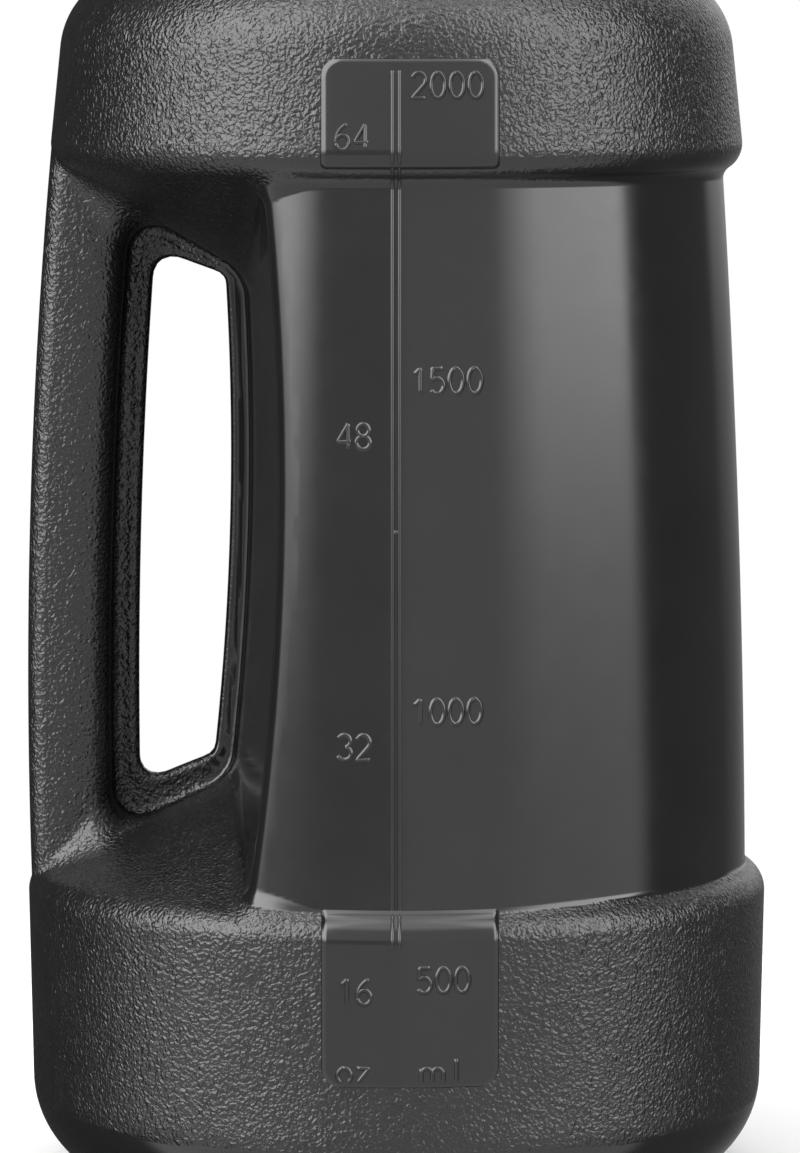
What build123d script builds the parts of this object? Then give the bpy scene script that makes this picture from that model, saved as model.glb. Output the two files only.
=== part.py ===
"""Calf feeding bottle: a handled two-litre bottle with a screw collar, a rubber teat and a valve.

The frame is in millimetres: the origin is the centre of the foot, +Z runs up the bottle's axis,
-Y is the front with the volume scale, and the handle stands on the -X side.
The bottle is blow moulded, so each of its forms is built twice, at its outer skin and one wall
thickness inside, and the difference of the two is the shell.
"""

from build123d import *
from math import radians, sqrt, tan
import os

# Bottle shell
wall = 1.2

# Lower band, the foot under it and the sloping floor of the grip recess above it
band_low_r = 65.8  # radius at the band's top edge
band_low_draft = 1.1  # how much narrower the band is at the foot
band_low_top = 54.5
band_low_edge_fillet = 5.0
foot_corner_fillet = 18.5
foot_inner_r = 36.0  # inside radius of the ring that the bottle stands on
foot_slope_run = 7.0  # radial run of the slope up to the raised centre
foot_push_up = 4.0
foot_ring_fillet = 3.0

# Upper band, the sloping ceiling of the recess under it, and the shoulder
band_high_r = 61.3
band_high_bottom = 181.3
band_high_edge_fillet = 5.0
shoulder_r = 58.3
shoulder_z = 210.2
shoulder_fillet = 15.0
shoulder_slope = 22.0  # degrees above the horizontal

# Waist: a barrel between the two bands, cut flat towards the handle
waist_foot_r = 62.25
waist_middle_r = 60.7
waist_top_r = 57.05
waist_bury = 6.0  # how far the barrel runs into each band
waist_edge_fillet = 2.2

# Grip recess: its floor and ceiling are cones, its wall is a shallow V bowed along Z
cone_inner_r = 25.0
cone_inner_fillet = 6.0
floor_inner_z = 73.3
ceiling_inner_z = 160.1
recess_wall_x = -25.7  # at the middle plane, where the bow is deepest
recess_wall_splay = 6.5  # degrees that each half of the V turns back from the middle plane
bow_radius = 500.0
bow_z = 131.0

# Handle tube
handle_outer_r = 65.2  # reach from the bottle's axis where the handle stands furthest out
handle_bow_radius = 1030.0
handle_bow_z = 85.0
handle_width = 14.5  # along X
handle_depth = 25.0  # along Y
handle_corner = 3.2

# Web pinched around the finger hole
web_thickness = 3.6
web_rim = 4.8  # how far the web stands out from the handle tube into the hole
web_wall_rim = 3.7  # the same from the recess wall
web_bury = 4.0  # how far the web runs into the body behind the recess wall
hole_top_outer_z = 165.4
hole_top_inner_z = 160.8
hole_bottom_outer_z = 70.0
hole_bottom_inner_z = 75.4
hole_fillet_handle = 5.0
hole_fillet_wall = 1.5

# Neck
neck_r = 25.0
neck_wall = 2.2
neck_top = 247.0
neck_foot_fillet = 6.0
neck_lip_fillet = 0.6
bead_stand = 3.5  # from the neck's wall
bead_drop = 18.0  # from the neck's rim down to the middle of the bead
bead_height = 2.6
bead_fillet = 0.85

# Thread between the neck and the collar
thread_pitch = 5.0
thread_root_width = 2.2
thread_crest_width = 1.2
thread_depth = 1.35
thread_bury = 0.35  # how far a ridge runs into the wall that carries it
thread_start_drop = 12.0  # from the neck's rim down to where the neck's thread starts
neck_thread_turns = 1.5
collar_thread_turns = 1.25
thread_side_gap = 0.25  # between the flanks that pull the collar down
thread_crest_gap = 0.4

# What the collar clamps on the neck's rim, from the bottom up
washer_thickness = 1.8
plate_thickness = 2.2
flange_thickness = 3.0
clamp_gap = 0.1  # between the teat's flange and the collar's lip, so that the collar turns

# Screw collar
collar_wall = 4.25
collar_bottom_gap = 0.9  # above the neck's bead
collar_lip_thickness = 2.8
collar_hole_gap = 0.5  # round the teat
collar_top_fillet = 2.2
collar_edge_fillet = 0.8
collar_ribs = 36
collar_rib_r = 1.1
collar_rib_stand = 0.75
collar_rib_margin = 2.6  # smooth height below and above the ribs

# Valve plate
spigot_gap = 0.3  # between the spigot and the neck's bore
spigot_wall = 1.3
spigot_depth = 3.4
valve_hole_r = 3.5
seat_chamfer = 0.8
tower_wall = 1.9
guide_count = 4
guide_width = 1.4
guide_stand = 1.85  # from the tower's bore towards the ball
guide_turn = 45.0  # degrees from +X to the first guide
rim_fillet = 0.4

# Valve ball and the cage over it
ball_r = 5.5
ball_travel = 4.0
ball_side_gap = 0.35
ball_end_gap = 0.1  # above the seat, and below the cage at the end of the travel
cage_wall = 1.4
cage_fit = 0.05
cage_skirt = 5.0
cage_top = 1.6
cage_bar_width = 2.2
cage_ring_width = 2.6

# Selector disc under the plate: its ports lie on a circle through the valve hole's centre
disc_rim = 2.0  # from the largest port to the disc's edge
disc_side_gap = 0.7  # between the disc and the spigot
disc_thickness = 2.0
disc_gap = 0.15  # above and below the disc
port_radii = (1.6, 2.5, valve_hole_r)
port_step = 80.0  # degrees between neighbouring ports
pivot_r = 2.5
pivot_clearance = 0.08
pivot_head_r = 3.5
pivot_head_height = 1.2
tab_length = 8.5
tab_width = 1.8
tab_height = 2.4
tab_margin = 0.5  # between the tab and the disc's edge

# Vent valve: a rubber mushroom in the plate, which lets air in as milk goes out
vent_stem_r = 1.0
vent_head_r = 3.1
vent_head_thickness = 1.0
vent_bulb_r = 1.4
vent_bulb_height = 0.7
vent_pocket_r = 2.5
vent_pocket_depth = 0.9
vent_groove_width = 1.6
vent_air_hole_r = 0.45
vent_air_holes = 3
vent_air_circle_r = 1.95
vent_side_gap = 0.5  # between the vent's head and the spigot

# Teat
teat_base_r = 17.4
teat_swell = 1.6  # how much wider the swell is than the base
teat_swell_rise = 8.0  # this and the next rises are above the collar
teat_waist_r = 11.6
teat_waist_rise = 56.0
teat_bulb_r = 13.4
teat_bulb_rise = 80.0
teat_length = 98.0
teat_wall = 3.0
teat_tip_wall = 3.6
teat_hole_r = 1.2
flange_edge_fillet = 0.5

# Helpers for the forms
far_out = 100.0  # outside every form of the bottle
beyond_axis = 4.8  # how far a revolved outline starts past the axis
overcut = 1.0  # how far a cut runs past the face that it opens
same_size = 0.01  # two radii closer than this are the same

# Places and fits worked out from the sizes above
bore_r = neck_r - neck_wall
bead_r = neck_r + bead_stand
bead_z = neck_top - bead_drop
thread_start_z = neck_top - thread_start_drop
thread_slope = (thread_root_width - thread_crest_width) / (2 * thread_depth)
thread_drop = thread_root_width - thread_slope * (thread_depth + thread_crest_gap) + thread_side_gap
collar_inner_r = neck_r + thread_depth + thread_crest_gap
collar_r = collar_inner_r + collar_wall
collar_bottom = bead_z + bead_height / 2 + collar_bottom_gap
plate_bottom = neck_top + washer_thickness
plate_top = plate_bottom + plate_thickness
flange_top = plate_top + flange_thickness
lip_bottom = flange_top + clamp_gap
collar_top = lip_bottom + collar_lip_thickness
spigot_r = bore_r - spigot_gap
spigot_inner_r = spigot_r - spigot_wall
vent_x = spigot_inner_r - vent_side_gap - vent_head_r
pivot_offset = (spigot_inner_r - disc_side_gap - disc_rim - port_radii[-1]) / 2
disc_r = pivot_offset + port_radii[-1] + disc_rim
disc_top = plate_bottom - disc_gap
disc_bottom = disc_top - disc_thickness
seat_r = valve_hole_r + seat_chamfer / 2
ball_z = plate_top - seat_chamfer / 2 + sqrt(ball_r**2 - seat_r**2) + ball_end_gap
tower_bore_r = ball_r + ball_side_gap + guide_stand
tower_r = tower_bore_r + tower_wall
tower_top = ball_z + ball_r + ball_travel + ball_end_gap
teat_swell_r = teat_base_r + teat_swell


def revolved(points, corner_radii, inset):
    """A form of revolution from its (radius, height) corners, from the axis and back to it."""
    # The outline starts beyond the axis, so that the inset moves only real skin.
    first, last = points[0], points[-1]
    outline = [(-beyond_axis, first[1]), *points[1:-1], (-beyond_axis, last[1])]
    with BuildPart() as form:
        with BuildSketch(Plane.XZ):
            with BuildLine():
                profile = FilletPolyline(*outline, radius=corner_radii)
                Line(profile @ 1, profile @ 0)
            make_face()
            if inset:
                offset(amount=-inset, kind=Kind.INTERSECTION)
            split(bisect_by=Plane.YZ)
        revolve(axis=Axis.Z)
    return form.part


def lower_form(inset):
    """Foot and lower band, topped by the cone that is the grip recess's floor."""
    points = [
        (0, foot_push_up),
        (foot_inner_r - foot_slope_run, foot_push_up),
        (foot_inner_r, 0),
        (band_low_r - band_low_draft, 0),
        (band_low_r, band_low_top),
        (cone_inner_r, floor_inner_z),
        (0, floor_inner_z),
    ]
    radii = [
        foot_ring_fillet,
        foot_ring_fillet,
        foot_corner_fillet,
        band_low_edge_fillet,
        cone_inner_fillet,
    ]
    return revolved(points, radii, inset)


def upper_form(inset, throat_r):
    """Upper band, shoulder and neck, standing on the cone that is the recess's ceiling."""
    rim_z = neck_top + 2 * inset  # the cavity runs out through the rim
    points = [
        (0, ceiling_inner_z),
        (cone_inner_r, ceiling_inner_z),
        (band_high_r, band_high_bottom),
        (shoulder_r, shoulder_z),
        (throat_r, shoulder_z + (shoulder_r - throat_r) * tan(radians(shoulder_slope))),
        (throat_r, rim_z),
        (0, rim_z),
    ]
    radii = [
        cone_inner_fillet,
        band_high_edge_fillet,
        shoulder_fillet,
        neck_foot_fillet,
        neck_lip_fillet,
    ]
    return revolved(points, radii, inset)


def recess_wall(z, shift):
    """X of the recess wall at height z in the middle plane, moved by shift."""
    return recess_wall_x + shift - (z - bow_z) ** 2 / (2 * bow_radius)


def waist_form(inset):
    """The barrel between the bands, flat towards the handle, with rounded upright edges."""
    low = band_low_top - waist_bury
    high = band_high_bottom + waist_bury
    splay = far_out * tan(radians(recess_wall_splay))
    with BuildPart() as beyond_wall:
        for plane, shift in ((Plane.XZ, inset), (Plane.XZ.offset(far_out), inset + splay)):
            with BuildSketch(plane):
                with BuildLine():
                    bow = ThreePointArc(*[(recess_wall(z, shift), z) for z in (low, bow_z, high)])
                    Polyline(bow @ 1, (-far_out, high), (-far_out, low), bow @ 0)
                make_face()
        loft()
        mirror(about=Plane.XZ)
    with BuildPart() as form:
        with BuildSketch(Plane.XZ):
            with BuildLine():
                barrel = ThreePointArc(
                    (waist_foot_r - inset, low),
                    (waist_middle_r - inset, (low + high) / 2),
                    (waist_top_r - inset, high),
                )
                Polyline(barrel @ 1, (0, high), (0, low), barrel @ 0)
            make_face()
        revolve(axis=Axis.Z)
        add(beyond_wall.part, mode=Mode.SUBTRACT)
        upright = form.edges().filter_by(
            lambda edge: edge.bounding_box().size.Z > high - low - waist_edge_fillet
            and abs(edge.center().Y) > waist_top_r / 2
        )
        fillet(upright, waist_edge_fillet - inset)
    return form.part


def handle_reach(z):
    """How far the handle's outer face stands from the bottle's axis at height z."""
    return handle_outer_r - (z - handle_bow_z) ** 2 / (2 * handle_bow_radius)


def handle_form(inset):
    """The handle tube, bowed outwards, with both ends inside the bands."""
    low = band_low_top - waist_bury
    high = band_high_bottom + waist_bury
    middle = (low + high) / 2
    with BuildPart() as form:
        with BuildLine(Plane.XZ) as spine:
            ThreePointArc(*[(handle_width / 2 - handle_reach(z), z) for z in (low, middle, high)])
        with BuildSketch(Plane(spine.line @ 0, x_dir=(0, 1, 0), z_dir=spine.line % 0)):
            RectangleRounded(
                handle_depth - 2 * inset, handle_width - 2 * inset, handle_corner - inset
            )
        sweep(path=spine.line)
    return form.part


def web_form():
    """The pinched web between handle and waist, with the finger hole through it."""
    web_start_x = handle_width / 2 - handle_outer_r
    hole_middle_z = (hole_top_outer_z + hole_bottom_outer_z) / 2
    with BuildPart() as form:
        with BuildSketch(Plane.XZ):
            with Locations((web_start_x, (band_low_top + band_high_bottom) / 2)):
                Rectangle(
                    recess_wall_x + web_bury - web_start_x,
                    band_high_bottom - band_low_top,
                    align=(Align.MIN, Align.CENTER),
                )
        extrude(amount=web_thickness / 2, both=True)
        with BuildSketch(Plane.XZ) as hole:
            with BuildLine():
                handle_side = ThreePointArc(
                    *[
                        (handle_width + web_rim - handle_reach(z), z)
                        for z in (hole_bottom_outer_z, hole_middle_z, hole_top_outer_z)
                    ]
                )
                wall_side = ThreePointArc(
                    *[
                        (recess_wall(z, -web_wall_rim), z)
                        for z in (hole_bottom_inner_z, bow_z, hole_top_inner_z)
                    ]
                )
                Line(handle_side @ 0, wall_side @ 0)
                Line(handle_side @ 1, wall_side @ 1)
            make_face()
            corners = hole.vertices().sort_by(Axis.X)
            fillet(corners[:2], hole_fillet_handle)
            fillet(corners[2:], hole_fillet_wall)
        extrude(amount=web_thickness, both=True, mode=Mode.SUBTRACT)
    return form.part


def thread_ridge(root_r, crest_r, start_z, turns):
    """One helical ridge of trapezoid section, from inside its carrying wall out to crest_r."""
    outwards = 1 if crest_r > root_r else -1
    buried_r = root_r - outwards * thread_bury
    with BuildPart() as ridge:
        with BuildLine() as spine:
            Helix(thread_pitch, thread_pitch * turns, buried_r, center=(0, 0, start_z))
        with BuildSketch(Plane(spine.line @ 0, x_dir=(outwards, 0, 0), z_dir=spine.line % 0)):
            depth = abs(crest_r - buried_r)
            Polygon(
                (0, -thread_root_width / 2),
                (depth, -thread_crest_width / 2),
                (depth, thread_crest_width / 2),
                (0, thread_root_width / 2),
                align=None,
            )
        sweep(path=spine.line, is_frenet=True)
    return ridge.part


def make_bottle_body():
    """The blow-moulded bottle: bands, waist, hollow handle and pinched web in one shell."""
    with BuildPart() as bottle_body:
        add(lower_form(0))
        add(upper_form(0, neck_r))
        add(waist_form(0))
        add(handle_form(0))
        add(web_form())
        add(lower_form(wall), mode=Mode.SUBTRACT)
        add(upper_form(wall, bore_r + wall), mode=Mode.SUBTRACT)
        add(waist_form(wall), mode=Mode.SUBTRACT)
        add(handle_form(wall), mode=Mode.SUBTRACT)
        with BuildSketch(Plane.XZ):
            with Locations((neck_r - thread_bury, bead_z)):
                Rectangle(
                    bead_r - neck_r + thread_bury, bead_height, align=(Align.MIN, Align.CENTER)
                )
        revolve(axis=Axis.Z)
        bead_edges = bottle_body.edges().filter_by(GeomType.CIRCLE)
        bead_edges = bead_edges.filter_by(lambda edge: abs(edge.radius - bead_r) < same_size)
        fillet(bead_edges, bead_fillet)
        add(thread_ridge(neck_r, neck_r + thread_depth, thread_start_z, neck_thread_turns))
    bottle_body.part.label = "bottle_body"
    export_step(bottle_body.part, "parts/bottle_body.step")


def make_sealing_washer():
    """Flat rubber washer between the neck's rim and the valve plate."""
    with BuildPart() as sealing_washer:
        with BuildSketch(Plane.XY.offset(neck_top)):
            Circle(neck_r)
            Circle(bore_r, mode=Mode.SUBTRACT)
        extrude(amount=washer_thickness)
    sealing_washer.part.label = "sealing_washer"
    export_step(sealing_washer.part, "parts/sealing_washer.step")


def make_screw_collar():
    """Ribbed collar, threaded inside, whose lip clamps the teat's flange."""
    height = collar_top - collar_bottom
    with BuildPart() as screw_collar:
        with BuildSketch(Plane.XY.offset(collar_bottom)):
            Circle(collar_r)
        extrude(amount=height)
        fillet(screw_collar.edges().group_by(Axis.Z)[-1], collar_top_fillet)
        with BuildSketch(Plane.XY.offset(collar_bottom + collar_rib_margin)):
            with PolarLocations(collar_r + collar_rib_stand - collar_rib_r, collar_ribs):
                Circle(collar_rib_r)
        extrude(amount=height - 2 * collar_rib_margin)
        with BuildSketch(Plane.XY.offset(collar_bottom)):
            Circle(collar_inner_r)
        extrude(amount=lip_bottom - collar_bottom, mode=Mode.SUBTRACT)
        with BuildSketch(Plane.XY.offset(lip_bottom)):
            Circle(teat_base_r + collar_hole_gap)
        extrude(amount=collar_lip_thickness, mode=Mode.SUBTRACT)
        hole_edges = screw_collar.edges().group_by(Axis.Z)[-1].sort_by(SortBy.LENGTH)[0]
        fillet(hole_edges, collar_edge_fillet)
        thread_z = thread_start_z - thread_drop
        add(thread_ridge(collar_inner_r, neck_r + thread_crest_gap, thread_z, collar_thread_turns))
    screw_collar.part.label = "screw_collar"
    export_step(screw_collar.part, "parts/screw_collar.step")


def make_valve_plate():
    """Plate clamped on the rim: spigot and disc pivot below, valve seat and ball tower above."""
    with BuildPart() as valve_plate:
        with BuildSketch(Plane.XY.offset(plate_bottom)):
            Circle(neck_r)
        extrude(amount=plate_thickness)
        with BuildSketch(Plane.XY.offset(plate_bottom)):
            Circle(spigot_r)
            Circle(spigot_inner_r, mode=Mode.SUBTRACT)
        extrude(amount=-spigot_depth)
        with BuildSketch(Plane.XY.offset(plate_top)):
            Circle(tower_r)
            Circle(tower_bore_r, mode=Mode.SUBTRACT)
            with PolarLocations(tower_bore_r - guide_stand, guide_count, start_angle=guide_turn):
                Rectangle(
                    guide_stand + tower_wall / 2, guide_width, align=(Align.MIN, Align.CENTER)
                )
        extrude(amount=tower_top - plate_top)
        with BuildSketch(Plane.XY.offset(plate_bottom)):
            Circle(valve_hole_r)
        extrude(amount=plate_thickness, mode=Mode.SUBTRACT)
        seat = valve_plate.edges().filter_by(GeomType.CIRCLE)
        seat = seat.filter_by(lambda edge: abs(edge.radius - valve_hole_r) < same_size)
        chamfer(seat.sort_by(Axis.Z)[-1], seat_chamfer)
        with BuildSketch(Plane.XY.offset(plate_bottom)):
            with Locations((-pivot_offset, 0)):
                Circle(pivot_r)
        extrude(amount=-(disc_thickness + 2 * disc_gap))
        with BuildSketch(Plane.XY.offset(disc_bottom - disc_gap)):
            with Locations((-pivot_offset, 0)):
                Circle(pivot_head_r)
        extrude(amount=-pivot_head_height)
        with BuildSketch(Plane.XY.offset(plate_top)):
            with Locations((vent_x, 0)):
                Circle(vent_pocket_r)
            with Locations((vent_x, 0)):
                Rectangle(
                    neck_r - vent_x + overcut, vent_groove_width, align=(Align.MIN, Align.CENTER)
                )
        extrude(amount=-vent_pocket_depth, mode=Mode.SUBTRACT)
        with BuildSketch(Plane.XY.offset(plate_bottom)):
            with Locations((vent_x, 0)):
                Circle(vent_stem_r)
                with PolarLocations(vent_air_circle_r, vent_air_holes):
                    Circle(vent_air_hole_r)
        extrude(amount=plate_thickness, mode=Mode.SUBTRACT)
    valve_plate.part.label = "valve_plate"
    export_step(valve_plate.part, "parts/valve_plate.step")


def make_valve_cage():
    """Cap pressed over the ball tower, with a cross of bars that stops the ball."""
    inner_r = tower_r + cage_fit
    outer_r = inner_r + cage_wall
    with BuildPart() as valve_cage:
        with BuildSketch(Plane.XY.offset(tower_top - cage_skirt)):
            Circle(outer_r)
            Circle(inner_r, mode=Mode.SUBTRACT)
        extrude(amount=cage_skirt)
        with BuildSketch(Plane.XY.offset(tower_top)):
            Circle(outer_r)
            Circle(inner_r - cage_ring_width, mode=Mode.SUBTRACT)
            for angle in (0, 90):
                Rectangle(2 * inner_r, cage_bar_width, rotation=angle)
        extrude(amount=cage_top)
        fillet(valve_cage.edges().group_by(Axis.Z)[-1].sort_by(SortBy.LENGTH)[-1], rim_fillet)
    valve_cage.part.label = "valve_cage"
    export_step(valve_cage.part, "parts/valve_cage.step")


def make_valve_ball():
    with BuildPart() as valve_ball:
        with Locations((0, 0, ball_z)):
            Sphere(ball_r)
    valve_ball.part.label = "valve_ball"
    export_step(valve_ball.part, "parts/valve_ball.step")


def make_flow_disc():
    """Selector disc on the plate's pivot: each port in turn lies under the valve hole."""
    with BuildPart() as flow_disc:
        with BuildSketch(Plane.XY.offset(disc_bottom)):
            with Locations((-pivot_offset, 0)):
                Circle(disc_r)
                Circle(pivot_r + pivot_clearance, mode=Mode.SUBTRACT)
                for index, port_r in enumerate(port_radii):
                    with PolarLocations(pivot_offset, 1, start_angle=port_step * (index - 1)):
                        Circle(port_r, mode=Mode.SUBTRACT)
        extrude(amount=disc_thickness)
        fillet(flow_disc.edges().group_by(Axis.Z)[0].sort_by(SortBy.LENGTH)[-1], rim_fillet)
        with BuildSketch(Plane.XY.offset(disc_bottom)):
            with Locations((-pivot_offset - disc_r + tab_margin, 0)):
                Rectangle(tab_length, tab_width, align=(Align.MIN, Align.CENTER))
        extrude(amount=-tab_height)
    flow_disc.part.label = "flow_disc"
    export_step(flow_disc.part, "parts/flow_disc.step")


def make_vent_valve():
    """Rubber mushroom: its head closes the air holes from below, its bulb holds it in."""
    with BuildPart() as vent_valve:
        for height, radius, thickness in (
            (plate_bottom - vent_head_thickness, vent_head_r, vent_head_thickness),
            (plate_bottom, vent_stem_r, plate_thickness - vent_pocket_depth),
            (plate_top - vent_pocket_depth, vent_bulb_r, vent_bulb_height),
        ):
            with BuildSketch(Plane.XY.offset(height)):
                with Locations((vent_x, 0)):
                    Circle(radius)
            extrude(amount=thickness)
        fillet(vent_valve.edges().group_by(Axis.Z)[0], vent_head_thickness / 2)
    vent_valve.part.label = "vent_valve"
    export_step(vent_valve.part, "parts/vent_valve.step")


def make_teat():
    """Rubber teat: flange, swell that grips the collar's hole, waist, sucking bulb and tip."""
    with BuildPart() as teat:
        for inset, tip_inset, mode in (
            (0, 0, Mode.ADD),
            (teat_wall, teat_tip_wall, Mode.SUBTRACT),
        ):
            with BuildSketch(Plane.XZ):
                with BuildLine():
                    side = Spline(
                        (teat_base_r - inset, collar_top),
                        (teat_swell_r - inset, collar_top + teat_swell_rise),
                        (teat_waist_r - inset, collar_top + teat_waist_rise),
                        (teat_bulb_r - inset, collar_top + teat_bulb_rise),
                        (0, collar_top + teat_length - tip_inset),
                        tangents=((0, 1), (-1, 0)),
                    )
                    Polyline(side @ 1, (0, plate_top), (teat_base_r - inset, plate_top), side @ 0)
                make_face()
            revolve(axis=Axis.Z, mode=mode)
            if not inset:
                with BuildSketch(Plane.XY.offset(plate_top)):
                    Circle(neck_r)
                extrude(amount=flange_thickness)
                rim = teat.edges().filter_by(GeomType.CIRCLE)
                rim = rim.filter_by(lambda edge: abs(edge.radius - neck_r) < same_size)
                fillet(rim, flange_edge_fillet)
        with BuildSketch(Plane.XY.offset(collar_top + teat_length)):
            Circle(teat_hole_r)
        extrude(amount=-2 * teat_tip_wall, mode=Mode.SUBTRACT)
    teat.part.label = "teat"
    export_step(teat.part, "parts/teat.step")


os.makedirs("parts", exist_ok=True)
make_bottle_body()
make_sealing_washer()
make_valve_plate()
make_flow_disc()
make_vent_valve()
make_valve_ball()
make_valve_cage()
make_teat()
make_screw_collar()
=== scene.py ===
"""Looks of the calf feeding bottle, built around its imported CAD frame.

Sizes are in millimetres, and a mesh is scaled to metres when it is made. The blow-moulded body is
one smooth skin: the surface where a distance field is 0, in which the bottle's forms meet in soft
corners. The scale on its front follows the same field.
"""

import math

import bpy
import numpy as np
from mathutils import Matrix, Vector


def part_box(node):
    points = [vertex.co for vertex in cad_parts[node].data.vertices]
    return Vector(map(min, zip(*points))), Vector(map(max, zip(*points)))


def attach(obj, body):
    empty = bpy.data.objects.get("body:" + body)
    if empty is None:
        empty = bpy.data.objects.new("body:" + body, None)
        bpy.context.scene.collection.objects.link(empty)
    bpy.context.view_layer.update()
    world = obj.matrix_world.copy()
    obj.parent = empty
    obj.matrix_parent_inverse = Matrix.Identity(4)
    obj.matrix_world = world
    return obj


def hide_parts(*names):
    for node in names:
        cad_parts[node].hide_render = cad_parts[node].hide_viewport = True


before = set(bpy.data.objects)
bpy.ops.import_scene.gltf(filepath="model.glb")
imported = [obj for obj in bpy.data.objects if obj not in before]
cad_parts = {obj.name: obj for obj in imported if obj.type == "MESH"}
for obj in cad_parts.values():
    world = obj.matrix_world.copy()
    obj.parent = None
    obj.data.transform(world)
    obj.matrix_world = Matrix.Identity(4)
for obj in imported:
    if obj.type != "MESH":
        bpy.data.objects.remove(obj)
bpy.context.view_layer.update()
MM = 0.001


def box_mm(node):
    """Lowest and highest corner of a CAD node, in millimetres."""
    return tuple(np.array(corner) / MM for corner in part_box(node))


# ---------------------------------------------------------------- sizes of the moulded body
body_low, body_high = box_mm("bottle_body")
WALL = 1.2
BAND_LOW_R = body_high[0]
BAND_LOW_DRAFT = 1.1
BAND_LOW_TOP = 54.5
BAND_EDGE_R = 5.0
FOOT_CORNER_R = 18.5
FOOT_INNER_R = 36.0
FOOT_SLOPE_RUN = 7.0
FOOT_PUSH_UP = 4.0
FOOT_RING_R = 3.0
SMOOTH_FOOT = 15.0  # height of the ridge where the grain stops
BAND_HIGH_R = 61.3
BAND_HIGH_BOTTOM = 181.3
SHOULDER_R = 58.3
SHOULDER_Z = 210.2
SHOULDER_EDGE_R = 15.0
SHOULDER_SLOPE = math.radians(22)
WAIST_RADII = (62.25, 60.7, 57.05)  # at its foot, middle and top
WAIST_BURY = 6.0
WAIST_EDGE_R = 2.2
CONE_INNER_R = 25.0
CONE_EDGE_R = 6.0
FLOOR_INNER_Z = 73.3
CEILING_INNER_Z = 160.1
RECESS_WALL_X = -25.7
RECESS_SPLAY = math.radians(6.5)
RECESS_RIDGE = 4.0  # how softly the two halves of the recess wall meet
BOW_R = 500.0
BOW_Z = 131.0
HANDLE_OUTER_R = 65.2
HANDLE_BOW_R = 1030.0
HANDLE_BOW_Z = 85.0
HANDLE_WIDTH = 14.5
HANDLE_DEPTH = 25.0
HANDLE_EDGE_R = 3.2
HANDLE_CROWN = 0.9  # how far the handle's wide faces fall away to their edges
WEB_THICKNESS = 3.6
WEB_RIM = 4.8
WEB_WALL_RIM = 3.7
WEB_EDGE_R = 1.0
WEB_LIP = 1.6  # width of the thicker lip round the finger hole
WEB_THINNING = 0.25  # how much lower each face of the web is behind the lip
HOLE_OUTER_Z = (70.0, 165.4)
HOLE_INNER_Z = (75.4, 160.8)
HOLE_HANDLE_R = 5.0
HOLE_WALL_R = 1.5
NECK_R = 25.0
NECK_BORE_R = 22.8
NECK_TOP = body_high[2]
NECK_FOOT_R = 6.0
NECK_LIP_R = 0.6
BEAD_R = 28.5
BEAD_Z = 229.0
BEAD_HEIGHT = 2.6
BEAD_EDGE_R = 0.85
BEAD_FOOT_R = 0.15
THREAD_PITCH = 5.0
THREAD_ROOT = 2.2
THREAD_CREST = 1.2
THREAD_DEPTH = 1.35
THREAD_START_Z = 235.0
THREAD_TURNS = 1.5
LEDGE_CORNER_R = 1.2  # soft corner between a band's ledge and the waist
RECESS_CORNER_R = 3.5  # the same in the grip recess
HANDLE_CORNER_R = 8.0  # between the handle and the recess's floor and ceiling
WEB_CORNER_R = 1.3
SKIN_TOP = BEAD_Z - 0.5  # where the blown skin ends, inside the neck's bead
WAIST_LOW = BAND_LOW_TOP - WAIST_BURY
WAIST_HIGH = BAND_HIGH_BOTTOM + WAIST_BURY
WAIST_MIDDLE = (WAIST_LOW + WAIST_HIGH) / 2
PANEL_STAND = 0.4
STROKE_STAND = 0.24
FRONT_SINK = PANEL_STAND + STROKE_STAND + 0.02  # a little more than what stands on the front


# ---------------------------------------------------------------- distance fields
def round_union(a, b, radius):
    """Distance to two forms together, with the inner corner between them filled to that radius."""
    sharp = np.maximum(radius, np.minimum(a, b))
    return sharp - np.hypot(np.maximum(radius - a, 0), np.maximum(radius - b, 0))


def round_overlap(a, b, radius):
    """Distance to what two forms share, with its outer corner rounded to that radius."""
    sharp = np.minimum(-radius, np.maximum(a, b))
    return sharp + np.hypot(np.maximum(radius + a, 0), np.maximum(radius + b, 0))


def smooth(low, high, value):
    """0 below low, 1 above high, and a smooth step between them."""
    t = np.clip((value - low) / (high - low), 0, 1)
    return t * t * (3 - 2 * t)


def cross(a, b):
    """The turn from one flat direction to another."""
    return a[0] * b[1] - a[1] * b[0]


def outline(points, radii):
    """The straight runs and the corner arcs of a chain of (radius, height) points."""
    points = [np.array(point, float) for point in points]
    runs, arcs = [], []
    start = points[0]
    for before, corner, after, radius in zip(points, points[1:], points[2:], radii):
        arrive = (corner - before) / np.linalg.norm(corner - before)
        leave = (after - corner) / np.linalg.norm(after - corner)
        turn = math.atan2(cross(arrive, leave), arrive @ leave)
        cut = radius * math.tan(abs(turn) / 2)
        side = math.copysign(1, turn)
        first, last = corner - cut * arrive, corner + cut * leave
        centre = first + side * radius * np.array((-arrive[1], arrive[0]))
        runs.append((start, first))
        arcs.append((centre, first - centre, last - centre, radius, side))
        start = last
    runs.append((start, points[-1]))
    return runs, arcs


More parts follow.
